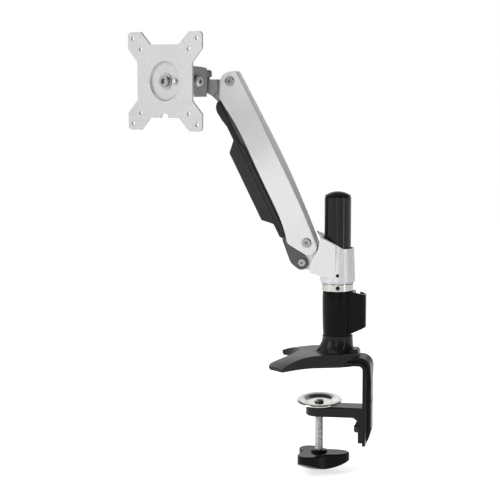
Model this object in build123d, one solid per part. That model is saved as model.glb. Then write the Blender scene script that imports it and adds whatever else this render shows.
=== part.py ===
from build123d import *

# Desk-clamped monitor arm: a pole on a clamped foot, a parallelogram arm with a gas spring, and a
# tilting, rotating VESA plate.  Millimetres.
#
# Frame: the origin is on the pole's axis at the desk-top plane, +Z is up, and -Y points over the
# desk, where the arm reaches at rest.  The arm's own pieces are drawn in arm coordinates (along
# the arm from the upper pivot D to the lower pivot A, across it, and sideways), and the head's
# pieces in head coordinates (forward from the swivel axis, sideways, and up).

import os
from math import atan2, cos, degrees, radians, sin

# ---------------------------------------------------------------- driving dimensions
# pole
POLE_R = 16.0                 # steel tube
POLE_WALL = 2.5
POLE_FOOT_Z = 13.0            # the tube stands on the foot's floor
POLE_TOP_Z = 200.5
CAP_DOME_R = 27.0
SLEEVE_TOP_Z = 88.2
RUNNING = 0.06                # radial clearance of a running fit

# foot, bracket and jaw
PAD_T = 1.5                   # rubber sheet under the foot and bracket
FOOT_TOP_Z = 34.5             # top of the foot's skirt
LEG_TIP = ((75.0, -55.0), (56.0, -74.0))      # outer and inner corner of a leg's end: x, y
NOTCH_R = 56.0                # round notch between the legs
NOTCH_Y = -103.0
PLATE_T = 3.5                 # clamp bracket plate
PLATE_END_Y = -26.0
RIB_T = 5.2                   # rib on the outside of the bracket
RIB_HALF_W = 18.0
BRACKET_HALF_W = 28.0
BEND_R = 5.0                  # inside of the bracket's bend
UPRIGHT_Y = 33.8              # inner face of the bracket's upright
UPRIGHT_BOTTOM_Z = -95.0
FOOT_SCREWS = ((-13.0, -20.0), (13.0, -20.0))
JAW_TOP_Z = -51.4
JAW_T = 12.4
JAW_HALF_W = 16.0
FLANGE_Y = 27.4               # jaw flange's outer face, under the screw heads
JAW_SCREW_X = (-8.0, 8.0)
JAW_SCREW_Z = -77.5
HOLE_STEP = 34.0              # the jaw can be screwed on this much higher
M5_R = 2.5
M5_HOLE_R = 2.6

# clamp screw
SCREW_Y = -21.5               # clamp screw axis
SCREW_R = 5.0
SCREW_TOP_Z = -52.25
NECK_R = 3.0                  # thin neck that the disc hangs on
DISC_R = 27.5
DISC_Z = -45.0                # rim plane of the clamp disc at its centre
DISC_TILT = 8.0               # the disc hangs tilted on its loose neck
KNOB_TOP_Z = -109.5
KNOB_T = 20.5                 # at the hub; the underside rises towards the lobes
KNOB_REACH = 37.0
KNOB_WAIST = 19.5             # radius between the lobes
KNOB_TURN = 95.0              # one lobe points this far round from +X
KNOB_BOWL_R = 66.0            # the underside is part of a ball
KNOB_GRIP = 4.0               # depth of screw pressed into the knob

# ring and collar
RING_Z = (88.6, 97.6)
RING_R = 19.2
GRUB_R = 2.5
COLLAR_BOTTOM_Z = 98.6
COLLAR_TOP_Z = 140.0
COLLAR_HALF_W = 21.0
COLLAR_BORE_R = 18.0
COLLAR_SCREW_Z = 108.4
COLLAR_SCREW_R = 2.0

# arm
ARM_LENGTH = 213.0            # pivot to pivot
ARM_ELEVATION = 64.0          # rest angle above the desk
PIVOT_A = (-35.5, 146.5)      # lower arm pivot: y, z
LINK_DROP = (-6.3, -24.4)     # from each arm pivot to the link pivot beside it: y, z
PIVOT_R = 3.0                 # M6 pivot bolts
BUSH_R = 5.0
TONGUE_HALF_W = 6.6
CHEEK_T = 2.6                 # side wall of the arm channel
ARM_HALF_D = 12.5             # half the channel's width at D, in the middle and at A
ARM_HALF_MID = 19.0
ARM_HALF_A = 14.2
BOLT_SEAT_R = 5.4
BOLT_SEAT_DEPTH = 1.0

# gas spring
SPRING_OFFSET = 11.0          # the spring's pin hangs this far below pivot A, towards B
SPRING_PIN_R = 2.0
FORK_HALF_W = 4.6             # slot in the collar's tongue that the spring's end moves in
SPRING_HALF_W = 4.0
CYLINDER_PIN = (43.0, 4.2)    # upper eye of the gas spring, in arm coordinates
CYLINDER_PIN_HALF = 12.4
CYLINDER_R = 7.0
CYLINDER_SPAN = (9.0, 80.0)   # from the upper eye, along the spring
PISTON_X = (56.5, 62.0)
PISTON_R = 5.55
ROD_END_GAP = 6.8             # from the rod's tip to the spring pin
SPRING_AIM = -8.7             # the spring's line passes this far under pivot A

# lower link and its covers, measured from the link's own centre line
LINK_INNER = 7.0
LINK_OUTER = 9.4
LINK_WEB = (-8.6, -6.4)       # the link's closed underside
COVER_SPAN = (-3.5, 173.0)
COVER_OUTER = -10.2
COVER_HALF_W = 14.0
COVER_T = 1.8
COVER_SCREWS_X = (42.0, 158.0)
COVER_SCREW_R = 1.5
DOOR_X = (58.0, 143.0)        # the cable door's flat underside, along the link
DOOR_REACH = -21.8            # how far the door stands below the link's centre line
DOOR_INSIDE = -19.8
DOOR_HALF_W = 13.4

# head
SWIVEL_Y = -162.5             # vertical axis of the head
HEAD_AZIMUTH = 29.0           # the head is turned this far from +X towards -Y at rest
BOSS_Z = (324.6, 339.8)
BOSS_R = 10.2
HEAD_BUSH_R = 4.6
SWIVEL_BUSH_R = 6.0
SWIVEL_BUSH_Z = 326.6
HEAD_PIN_R = 4.0              # swivel pin, tilt bolt and centre bolt
WASHER_BORE_R = 4.05
LUG_Z = (342.6, 349.6)        # the bracket's lug over the boss
BRACKET_HALF = 19.0
BRACKET_INNER = 13.6
BRACKET_LOW_Z = 319.5
TILT_Z = 338.0
TILT_X = 34.0                 # tilt axis ahead of the swivel axis
NECK_HALF = 9.5               # half the width of the knuckle's neck
TILT_BUSH_R = 5.4
SIDE_PLAY = 0.7               # between the knuckle's barrel and each cheek

# plate
PLATE_FRONT_X = 71.0
VESA_T = 2.5
VESA_PITCHES = (100.0, 75.0)
VESA_HOLE_R = 2.5
DISH_DEPTH = 2.8
STOP_X = 14.5                 # stop screw beside the centre bolt

# ---------------------------------------------------------------- derived places
elevation = radians(ARM_ELEVATION)
pivot_d = (PIVOT_A[0] - ARM_LENGTH * cos(elevation), PIVOT_A[1] + ARM_LENGTH * sin(elevation))
ALONG = (0, cos(elevation), -sin(elevation))
ARM_FRAME = Plane(origin=(0, *pivot_d), x_dir=ALONG, z_dir=(1, 0, 0))
SIDE_FRAME = Plane(origin=(0, 0, 0), x_dir=(0, 1, 0), z_dir=(1, 0, 0))
HEAD_FRAME = Plane(
    origin=(0, SWIVEL_Y, 0),
    x_dir=(cos(radians(HEAD_AZIMUTH)), -sin(radians(HEAD_AZIMUTH)), 0),
    z_dir=(0, 0, 1),
)
HUB_X = PLATE_FRONT_X - VESA_T - DISH_DEPTH
# the link pivots in arm coordinates
link_t = LINK_DROP[0] * ALONG[1] + LINK_DROP[1] * ALONG[2]
link_s = LINK_DROP[0] * sin(elevation) + LINK_DROP[1] * cos(elevation)
PIVOT_B = (PIVOT_A[0] + LINK_DROP[0], PIVOT_A[1] + LINK_DROP[1])
pivot_c = (pivot_d[0] + LINK_DROP[0], pivot_d[1] + LINK_DROP[1])
drop_length = (LINK_DROP[0] ** 2 + LINK_DROP[1] ** 2) ** 0.5
SPRING_PIN = (
    PIVOT_A[0] + LINK_DROP[0] * SPRING_OFFSET / drop_length,
    PIVOT_A[1] + LINK_DROP[1] * SPRING_OFFSET / drop_length,
)

TILT_PLACE = Pos(TILT_X, 0, TILT_Z) * Rot(-90, 0, 0)      # z along the tilt bolt
UPWARD = (Align.CENTER, Align.CENTER, Align.MIN)

PARTS = {}


# ---------------------------------------------------------------- small helpers
def keep(name, shape):
    """File a finished shape under its node name."""
    PARTS[name] = shape


def rod(radius, low, high, at=(0, 0)):
    """Upright cylinder from z=low to z=high."""
    return Pos(at[0], at[1], low) * Cylinder(radius, high - low, align=UPWARD)


def tube(outer, inner, low, high, at=(0, 0)):
    return rod(outer, low, high, at) - rod(inner, low - 1, high + 1, at)


def cone(bottom_r, top_r, low, high, at=(0, 0)):
    return Pos(at[0], at[1], low) * Cone(bottom_r, top_r, high - low, align=UPWARD)


def block(x, y, z):
    """Box between the given (low, high) pairs."""
    size = (x[1] - x[0], y[1] - y[0], z[1] - z[0])
    return Pos((x[0] + x[1]) / 2, (y[0] + y[1]) / 2, (z[0] + z[1]) / 2) * Box(*size)


def slab(outline, low, high):
    """Flat outline of (x, y) points extruded from z=low to z=high."""
    face = make_face(Polyline(*outline, close=True))
    return Pos(0, 0, low) * extrude(face, high - low)


def hex_prism(across_flats, low, high, at=(0, 0)):
    face = RegularPolygon(across_flats / 2, 6, major_radius=False)
    return Pos(at[0], at[1], low) * extrude(face, high - low)


def soften(shape, edges, radius):
    """Round the given edges; a shape whose edges are too tight keeps them sharp."""
    try:
        return fillet(edges, radius)
    except Exception:
        return shape


def arm_placed(shape):
    return ARM_FRAME.location * shape


def side_placed(shape):
    """Shapes drawn as (y, z) outlines with their thickness along x."""
    return SIDE_FRAME.location * shape


def head_placed(shape):
    return HEAD_FRAME.location * shape


def socket_bolt(radius, head_r, head_t, shank_low, head_low, socket):
    """Bolt along z, its button head above head_low, with a hexagon socket."""
    head = rod(head_r, head_low, head_low + head_t)
    head = soften(head, head.edges().group_by(Axis.Z)[-1], head_t * 0.4)
    head -= hex_prism(socket, head_low + head_t * 0.35, head_low + head_t + 1)
    return head + rod(radius, shank_low, head_low)


def nut(across_flats, bore, low, high):
    return hex_prism(across_flats, low, high) - rod(bore, low - 1, high + 1)


# ---------------------------------------------------------------- foot and clamp
def foot_outline():
    """Wishbone: two legs, a round notch between them, and a rounded tail."""
    (outer_x, outer_y), (inner_x, inner_y) = LEG_TIP
    half = Polyline((0, 27), (12, 27), (19, 22)) + Spline(
        (19, 22), (33, 2), (42, -24), (outer_x, outer_y), tangents=[(0.9, -0.7), (0.85, -0.65)]
    )
    tip = Polyline((outer_x, outer_y), (inner_x, inner_y), (0, inner_y), (0, 27))
    right = make_face(half + tip)
    both = right + mirror(right, Plane.YZ)
    return both - Pos(0, NOTCH_Y) * Circle(NOTCH_R)


def desk_foot():
    """Cast foot: arched legs falling to thin tips, and a flared skirt around the pole."""
    tip, root = (96, 3.2), (26, 15.4)
    profile = Polyline(root, (0, root[1]), (0, PAD_T), (tip[0], PAD_T), tip) + Spline(
        tip, (82, 8.0), (64, 12.3), (44, 14.8), root, tangents=[(-1, 0.26), (-1, 0)]
    )
    arch = revolve(Plane.XZ * make_face(profile), Axis.Z)
    body = arch & extrude(foot_outline(), 25)
    sections = [
        Pos(0, -4.6, 14.2) * Circle(27.6),
        Pos(0, -1.6, 19.5) * Circle(21.6),
        Pos(0, 0.2, 27.0) * Circle(18.8),
        Pos(0, 0.4, FOOT_TOP_Z) * Circle(18.4),
    ]
    body += loft(Sketch() + sections)
    tail = block((-13.0, 13.0), (8.0, 26.4), (12.0, 19.0))
    body += soften(tail, tail.edges().filter_by(lambda e: e.center().Y > 26 or e.center().Z > 18.9), 3.0)
    body -= rod(POLE_R + RUNNING, POLE_FOOT_Z, FOOT_TOP_Z + 5)
    top = PAD_T + PLATE_T + RIB_T + 0.1
    for half_w, depth in ((BRACKET_HALF_W, top - RIB_T), (RIB_HALF_W, top)):
        body -= block((-half_w - 0.2, half_w + 0.2), (PLATE_END_Y - 0.2, 60), (0, depth))
    body -= rod(5.2, 0, 30)
    for place in FOOT_SCREWS:
        body -= rod(M5_HOLE_R, 0, 30, place)
    keep("desk_foot", body)


def desk_pad():
    """Die-cut rubber sheet under the foot and the bracket's top plate."""
    sheet = extrude(foot_outline(), PAD_T - 0.05)
    keep("desk_pad", sheet & block((-90, 90), (-73.0, 26.0), (-1, PAD_T)))


def bend_arc(offset):
    """Quarter turn of the bracket's bend, this far outside its inner face."""
    centre_y, centre_z, radius = UPRIGHT_Y - BEND_R, PAD_T - BEND_R, BEND_R + offset
    slant = radius * sin(radians(45))
    return ThreePointArc(
        (centre_y, centre_z + radius), (centre_y + slant, centre_z + slant), (centre_y + radius, centre_z)
    )


def bracket_bend(inner, outer, half_w, bottom_z):
    """L-shaped bar with a rounded bend: inner and outer are offsets from the desk's edge."""
    bend_y, bend_z = UPRIGHT_Y - BEND_R, PAD_T - BEND_R
    down = Polyline(
        (UPRIGHT_Y + inner, bend_z), (UPRIGHT_Y + inner, bottom_z),
        (UPRIGHT_Y + outer, bottom_z), (UPRIGHT_Y + outer, bend_z),
    )
    back = Polyline(
        (bend_y, PAD_T + outer), (PLATE_END_Y, PAD_T + outer),
        (PLATE_END_Y, PAD_T + inner), (bend_y, PAD_T + inner),
    )
    face = make_face(bend_arc(inner) + down + bend_arc(outer) + back)
    return side_placed(extrude(face, half_w, both=True))


def clamp_bracket():
    """Steel L: a wide plate with a rib outside it that fades out at the bottom."""
    plate = bracket_bend(0, PLATE_T, BRACKET_HALF_W, UPRIGHT_BOTTOM_Z)
    rib = bracket_bend(PLATE_T, PLATE_T + RIB_T, RIB_HALF_W, UPRIGHT_BOTTOM_Z + 1)
    narrow, low, high = 11.0, -18.0, -6.0
    front = make_face(Polyline(
        (narrow, UPRIGHT_BOTTOM_Z - 5), (narrow, low), (RIB_HALF_W, high), (RIB_HALF_W, 20),
        (-RIB_HALF_W, 20), (-RIB_HALF_W, high), (-narrow, low), (-narrow, UPRIGHT_BOTTOM_Z - 5), close=True
    ))
    rib &= Rot(90, 0, 0) * extrude(front, 60, both=True)
    skin, crest = UPRIGHT_Y + PLATE_T, UPRIGHT_Y + PLATE_T + RIB_T
    fade = make_face(
        ThreePointArc((skin, -93.6), (skin + 3.6, -85.5), (crest, -73))
        + Polyline((crest, -73), (60, -73), (60, -100), (skin, -100), (skin, -93.6))
    )
    body = plate + (rib - side_placed(extrude(fade, 30, both=True)))
    body -= rod(5.3, 0, 12)
    body -= cone(9.6, 5.3, PAD_T - 0.01, PAD_T + 4.3)
    for place in FOOT_SCREWS:
        body -= rod(M5_HOLE_R + 0.1, 0, 12, place)
        body -= cone(5.2, M5_HOLE_R + 0.1, PAD_T - 0.01, PAD_T + 2.5, place)
    for z in (JAW_SCREW_Z, JAW_SCREW_Z + HOLE_STEP):
        for x in JAW_SCREW_X:
            body -= Pos(x, UPRIGHT_Y - 3, z) * Rot(-90, 0, 0) * rod(M5_HOLE_R, 0, 14)
    keep("clamp_bracket", body)


def clamp_jaw():
    """Lower jaw: a round-ended arm under the desk and a flange down the upright."""
    low_z = JAW_TOP_Z - JAW_T
    arm = block((-JAW_HALF_W, JAW_HALF_W), (SCREW_Y, UPRIGHT_Y), (low_z, JAW_TOP_Z))
    arm += rod(JAW_HALF_W, low_z, JAW_TOP_Z, (0, SCREW_Y))
    for level, radius in ((JAW_TOP_Z, 1.6), (low_z, 2.4)):
        rim = arm.edges().filter_by(
            lambda e: e.center().Y < UPRIGHT_Y - 1 and abs(e.center().Z - level) < 0.1
        )
        arm = soften(arm, rim, radius)
    flange = block((-JAW_HALF_W, JAW_HALF_W), (FLANGE_Y, UPRIGHT_Y), (-94.0, JAW_TOP_Z - 1))
    gusset = make_face(
        ThreePointArc((16, low_z), (24.6, low_z - 2.6), (FLANGE_Y, low_z - 8))
        + Polyline(
            (FLANGE_Y, low_z - 8), (30, low_z - 8), (30, JAW_TOP_Z - 2), (16, JAW_TOP_Z - 2), (16, low_z)
        )
    )
    body = arm + flange + side_placed(extrude(gusset, JAW_HALF_W - 3, both=True))
    body -= block((-9, 9), (-2, 22), (low_z - 1, low_z + 4))
    body -= rod(SCREW_R + RUNNING, low_z - 5, JAW_TOP_Z + 5, (0, SCREW_Y))
    for x in JAW_SCREW_X:
        body -= Pos(x, 20, JAW_SCREW_Z) * Rot(-90, 0, 0) * rod(M5_HOLE_R, 0, 20)
    keep("clamp_jaw", body)


def jaw_screws():
    """Two M5 pan-head screws through the flange and the bracket."""
    group = []
    for x in JAW_SCREW_X:
        head = rod(5.0, -5.4, 0)
        head = soften(head, head.edges().group_by(Axis.Z)[0], 2.2)
        head -= hex_prism(3.0, -6, -3.4)
        screw = head + rod(M5_R, 0, UPRIGHT_Y + PLATE_T + 2.0 - FLANGE_Y)
        group.append(Pos(x, FLANGE_Y, JAW_SCREW_Z) * Rot(-90, 0, 0) * screw)
    keep("jaw_screws", Compound(children=group))


def foot_screws():
    """Two M5 countersunk screws from under the bracket into the foot."""
    group = []
    for place in FOOT_SCREWS:
        screw = cone(5.0, M5_R, PAD_T + 0.1, PAD_T + 2.5, place) + rod(M5_R, PAD_T + 2.4, 12.0, place)
        group.append(screw - hex_prism(3.0, 0, PAD_T + 1.6, place))
    keep("foot_screws", Compound(children=group))


# ---------------------------------------------------------------- pole
def pole_parts():
    """Tube, the threaded plug in its foot, the bolt from below, and the domed cap."""
    pole = tube(POLE_R, POLE_R - POLE_WALL, POLE_FOOT_Z, POLE_TOP_Z)
    keep("pole", pole)
    plug = rod(POLE_R - POLE_WALL, POLE_FOOT_Z, POLE_FOOT_Z + 22)
    keep("pole_plug", plug - rod(5.0, POLE_FOOT_Z - 1, POLE_FOOT_Z + 19))
    bolt = cone(9.3, 5.0, PAD_T + 0.1, PAD_T + 4.3) + rod(5.0, PAD_T + 4.2, POLE_FOOT_Z + 18)
    keep("pole_bolt", bolt - hex_prism(6.0, 0, PAD_T + 3.4))
    dome = Pos(0, 0, POLE_TOP_Z + 7.0 - CAP_DOME_R) * Sphere(CAP_DOME_R)
    cap = rod(POLE_R, POLE_TOP_Z + 1.6, POLE_TOP_Z + 9) & dome
    cap += rod(POLE_R - 1.0, POLE_TOP_Z, POLE_TOP_Z + 1.7)
    cap += rod(POLE_R - POLE_WALL - 0.05, POLE_TOP_Z - 12, POLE_TOP_Z)
    keep("pole_cap", cap)


def pole_sleeve():
    """Slightly barrelled plastic sleeve between the foot and the ring."""
    low, high = FOOT_TOP_Z, SLEEVE_TOP_Z
    outline = Polyline((POLE_R + RUNNING, low), (16.9, low)) + Spline(
        (16.9, low), (17.7, low + 14), (18.1, low + 36), (17.6, high), tangents=[(0.1, 1), (-0.1, 1)]
    ) + Polyline((17.6, high), (POLE_R + RUNNING, high), (POLE_R + RUNNING, low))
    body = revolve(Plane.XZ * make_face(outline), Axis.Z)
    keep("pole_sleeve", body)


def cable_clip():
    """Hollow clip behind the sleeve: cables drop in through the slot on its far side."""
    side = Polyline((14.0, 36.0), (34.8, 45.5), (34.8, 84.4), (14.0, 89.6), close=True)
    body = side_placed(extrude(make_face(side), 13.0, both=True))
    plan = make_face(
        Polyline((-11, 12), (-11, 25))
        + ThreePointArc((-11, 25), (-8.5, 32.2), (-3, 34.8))
        + Polyline((-3, 34.8), (3, 34.8))
        + ThreePointArc((3, 34.8), (8.5, 32.2), (11, 25))
        + Polyline((11, 25), (11, 12), (-11, 12))
    )
    body &= Pos(0, 0, 30) * extrude(plan, 70)
    hollow = slab([(-8.6, 21), (-8.6, 25.5), (-5, 31.8), (5, 31.8), (8.6, 25.5), (8.6, 21)], 20, 100)
    body -= hollow
    body -= block((-13, -8), (21.2, 26.5), (20, 100))
    body -= rod(18.12, 20, SLEEVE_TOP_Z + 0.1)
    body -= rod(RING_R + 0.4, SLEEVE_TOP_Z, 130)
    keep("cable_clip", body)


# ---------------------------------------------------------------- clamp screw
def clamp_disc():
    """Pressed steel dish, hanging loose and a little tilted on the screw's neck."""
    outline = Polyline((3.9, -4.6), (12.0, -4.6)) + Spline(
        (12.0, -4.6), (16.5, -3.6), (20.0, -1.9), (24.5, -1.2), tangents=[(1, 0), (1, 0.05)]
    ) + Polyline((24.5, -1.2), (DISC_R - 0.3, -1.4), (DISC_R, -0.6), (DISC_R - 0.5, 0.2), (24.5, 0.6))
    outline += Spline((24.5, 0.6), (20.0, 0.0), (16.0, -1.7), (12.0, -2.8), tangents=[(-1, -0.05), (-1, 0)])
    outline += Polyline((12.0, -2.8), (3.9, -2.8), (3.9, -4.6))
    dish = revolve(Plane.XZ * make_face(outline), Axis.Z)
    keep("clamp_disc", Pos(0, SCREW_Y, DISC_Z) * Rot(0, DISC_TILT, 0) * dish)


def clamp_screw():
    """M10 screw with a thin neck and a peened head that hold the disc loosely."""
    screw = rod(SCREW_R, KNOB_TOP_Z - KNOB_GRIP, SCREW_TOP_Z, (0, SCREW_Y))
    screw += rod(NECK_R, SCREW_TOP_Z - 0.75, DISC_Z - 1.8, (0, SCREW_Y))
    head = cone(5.0, 5.6, DISC_Z - 2.0, DISC_Z - 1.0, (0, SCREW_Y))
    head += cone(5.6, 3.4, DISC_Z - 1.0, DISC_Z + 0.6, (0, SCREW_Y))
    for turn in (0, 90):
        head -= Pos(0, SCREW_Y, 0) * Rot(0, 0, turn) * block((-0.4, 0.4), (-8, 8), (DISC_Z, DISC_Z + 3))
    keep("clamp_screw", screw + head)


def clamp_knob():
    """Three-lobed knob pressed on the screw's lower end."""
    middle, swing = (KNOB_REACH + KNOB_WAIST) / 2, (KNOB_REACH - KNOB_WAIST) / 2
    points = []
    for step in range(36):
        angle = radians(step * 10)
        reach = middle + swing * cos(3 * angle)
        points.append((reach * cos(angle), reach * sin(angle)))
    body = Rot(0, 0, KNOB_TURN) * extrude(make_face(Spline(*points, periodic=True)), KNOB_T)
    body &= Pos(0, 0, KNOB_BOWL_R) * Sphere(KNOB_BOWL_R)
    body = soften(body, body.edges().group_by(Axis.Z)[-1], 1.6)
    body = Pos(0, SCREW_Y, KNOB_TOP_Z - KNOB_T) * body
    body += cone(11.0, 8.5, KNOB_TOP_Z - 0.5, KNOB_TOP_Z + 3.0, (0, SCREW_Y))
    body -= rod(SCREW_R, KNOB_TOP_Z - KNOB_GRIP, KNOB_TOP_Z + 8, (0, SCREW_Y))
    keep("clamp_knob", body)


# ---------------------------------------------------------------- ring and collar
def height_ring():
    """Steel ring clamped on the pole by a grub screw; it sets the arm's height."""
    low, high = RING_Z
    ring = tube(RING_R, POLE_R + RUNNING, low, high)
    rim = ring.edges().filter_by(lambda e: e.geom_type == GeomType.CIRCLE and e.radius > POLE_R + 2)
    ring = soften(ring, rim, 0.8)
    place = Rot(0, 0, 8) * Pos(0, 0, (low + high) / 2) * Rot(0, 90, 0)
    keep("height_ring", ring - place * rod(GRUB_R + 0.05, 0, 30))
    screw = rod(GRUB_R, POLE_R + 0.15, RING_R - 0.4) - hex_prism(2.5, RING_R - 2.2, RING_R)
    keep("ring_screw", place * screw)


def tongue_outline():
    """Web between the arm's side walls that carries pivots A and B: (y, z) points."""
    (ay, az), (by, bz) = PIVOT_A, PIVOT_B
    face = Pos(ay, az) * Circle(7.2) + Pos(by, bz) * Circle(8.6)
    face += make_face(Polyline(
        (ay - 6.6, az - 2.6), (ay + 5.6, az - 4.6), (ay + 13.5, az - 12.5), (-17.5, 138.0), (-17.5, 108.0),
        (by + 3, bz - 8.05), (by - 6, bz - 6.1), close=True,
    ))
    return face


def collar_outline():
    """Side view of the solid shoulder and barrel block."""
    corner, chin = (-18.9, 154.4), (-31.6, 114.4)
    top = Spline(
        (9, COLLAR_TOP_Z), (2.4, 143.9), (-8.0, 149.6), corner, tangents=[(-1, 0.35), (-0.9, 0.35)]
    )
    front = Spline(corner, (-21.3, 138.9), (-27.9, 126.9), chin, tangents=[(-0.05, -1), (-0.2, -1)])
    under = Polyline(
        chin, (-30.2, 111.4), (-20.6, 107.9), (11.7, 100.6), (19, 100.6), (19, COLLAR_TOP_Z),
        (9, COLLAR_TOP_Z)
    )
    return make_face(top + front + under)


def spring_slot():
    """Room in the tongue for the spring's end and rod over the arm's whole travel."""
    slot = slab([(-26, 131.5), (-60, 131.5), (-60, 170), (-20, 170), (-23.5, 140)], -FORK_HALF_W, FORK_HALF_W)
    slot += slab([(-29.0, 136.0), (-71.6, 109.8), (-71.6, 150.0), (-29.0, 150.0)], -FORK_HALF_W, FORK_HALF_W)
    return slot + rod(10.4, -FORK_HALF_W, FORK_HALF_W, SPRING_PIN)


def collar():
    """Cast collar: a tapered barrel on the pole, square shoulders and the pivot tongue."""
    barrel = cone(21.6, 19.6, 100.6, COLLAR_TOP_Z) + rod(20.4, COLLAR_BOTTOM_Z, 101.0)
    shoulder = side_placed(extrude(collar_outline(), COLLAR_HALF_W, both=True))
    shoulder -= block((-40, 40), (0, 60), (90, 170))
    rim = rod(19.6, COLLAR_TOP_Z - 1, 160) & side_placed(extrude(collar_outline(), 30, both=True))
    plan = make_face(
        Polyline((0, 21.0), (0, 0), (COLLAR_HALF_W, 0), (COLLAR_HALF_W, -50), (0, -50), (0, 21.0))
    )
    shoulder &= Pos(0, 0, 90) * extrude(plan + mirror(plan, Plane.YZ), 80)
    corner = shoulder.edges().filter_by(
        lambda e: abs(abs(e.center().X) - COLLAR_HALF_W) < 0.2 and e.center().Z > 141 and e.center().Y > -18.2
    )
    shoulder = soften(shoulder, corner, 1.2)
    tongue = side_placed(extrude(tongue_outline(), TONGUE_HALF_W, both=True))
    body = barrel + rim + shoulder + tongue
    ear = slab([(-17.0, 153.6), (-27.0, 158.2), (-28.2, 157.0), (-19.8, 146.0), (-17.0, 138.0)], -20.6, -18.4)
    body += side_placed(ear)
    body -= rod(COLLAR_BORE_R, 90, 170)
    for pivot in (PIVOT_A, PIVOT_B):
        body -= side_placed(rod(BUSH_R, -30, 30, pivot))
    body -= side_placed(spring_slot())
    body -= side_placed(rod(SPRING_PIN_R, -30, 30, SPRING_PIN))
    screw_place = Rot(0, 0, 7) * Pos(0, 0, COLLAR_SCREW_Z) * Rot(0, 90, 0)
    keep("collar", body - screw_place * rod(COLLAR_SCREW_R + 0.1, 17, 30))
    keep("collar_bush", tube(COLLAR_BORE_R, POLE_R + RUNNING, COLLAR_BOTTOM_Z + 0.4, COLLAR_TOP_Z - 3.0))
    keep("slip_washer", tube(19.6, POLE_R + RUNNING, RING_Z[1] + 0.05, COLLAR_BOTTOM_Z - 0.05))
    screw = rod(COLLAR_SCREW_R, COLLAR_BORE_R + 0.1, 20.4) - hex_prism(2.0, 19.2, 21)
    keep("collar_screw", screw_place * screw)


def tongue_fittings():
    """Bronze bushes at A and B, and the pin that the gas spring pushes on."""
    bushes = []
    for pivot in (PIVOT_A, PIVOT_B):
        bush = rod(BUSH_R, -TONGUE_HALF_W, TONGUE_HALF_W, pivot) - rod(PIVOT_R + RUNNING, -20, 20, pivot)
        if pivot == PIVOT_A:
            bush -= rod(BUSH_R + 1, -FORK_HALF_W, FORK_HALF_W, pivot)
        bushes += [side_placed(piece) for piece in bush.solids()]
    keep("tongue_bushes", Compound(children=bushes))
    half = TONGUE_HALF_W - 0.1
    keep("spring_pin", side_placed(rod(SPRING_PIN_R, -half, half, SPRING_PIN)))


# ---------------------------------------------------------------- arm
def arm_side_outline():
    """Side view of the channel in arm coordinates: rounded upper end, blunt nose, full lower corners."""
    crown, brow, tip, chin, heel = (-6.5, 12.2), (219.8, 9.8), (223.0, 8.8), (225.6, -7.4), (207.5, -19.4)
    heel_end, toe, toe_end, jowl = (199.0, -20.4), (15.5, -19.9), (9.6, -18.4), (-2.8, -11.9)
    outline = Spline(crown, (19, 13.2), (95, 14.4), (181, 12.6), brow, tangents=[(1, 0.06), (1, -0.1)])
    outline += Polyline(brow, tip)
    outline += ThreePointArc(tip, (228.2, 0), chin)
    outline += Polyline(chin, heel)
    outline += ThreePointArc(heel, (203.5, -21.0), heel_end)
    outline += Spline(
        heel_end, (181, -16.9), (150, -15.3), (95, -14.8), (55, -15.4), (30, -18.1), toe,
        tangents=[(-1, 0.3), (-1, -0.1)]
    )
    outline += ThreePointArc(toe, (12.4, -19.9), toe_end)
    outline += Polyline(toe_end, jowl)
    outline += Spline(jowl, (-10.6, -1.5), (-9.6, 6.8), crown, tangents=[(-0.85, 0.5), (0.7, 0.75)])
    return make_face(outline)


def arm_plan(inset):
    """Plan view: narrow ends and a wider middle; returned as a prism across the arm's height."""
    low, high = -20, 240
    at_d, mid, at_a = ARM_HALF_D - inset, ARM_HALF_MID - inset, ARM_HALF_A - inset
    edge = Polyline((low, at_d), (20, at_d)) + Spline(
        (20, at_d), (108, mid), (200, at_a), tangents=[(1, 0), (1, 0)]
    ) + Polyline((200, at_a), (high, at_a), (high, 0), (low, 0), (low, at_d))
    half = make_face(edge)
    return Rot(90, 0, 0) * extrude(half + mirror(half, Plane.XZ), 60, both=True)


def arm_channel():
    """Cast channel, open below, with the two cheeks that hold pivots A and D."""
    body = extrude(arm_side_outline(), 30, both=True) & arm_plan(0)
    rim = body.edges().filter_by(lambda e: e.length > 100 and e.center().Y > 5)
    body = soften(body, rim, 1.4)
    start, stop = (-30, 10.0), (250, 7.6)
    roof = Spline(start, (19, 10.8), (95, 12.0), (181, 10.4), stop, tangents=[(1, 0.02), (1, -0.04)])
    hollow = make_face(roof + Polyline(stop, (stop[0], -60), (start[0], -60), start))
    body -= extrude(hollow, 40, both=True) & arm_plan(CHEEK_T)
    for t, half_w in ((0, ARM_HALF_D), (ARM_LENGTH, ARM_HALF_A)):
        seat = half_w - BOLT_SEAT_DEPTH
        body -= rod(PIVOT_R + 0.03, -30, 30, (t, 0))
        body -= rod(BOLT_SEAT_R, seat, 30, (t, 0)) + rod(BOLT_SEAT_R, -30, -seat, (t, 0))
    body -= rod(PIVOT_R, -CYLINDER_PIN_HALF, CYLINDER_PIN_HALF, CYLINDER_PIN)
    keep("arm_channel", arm_placed(body))


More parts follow.
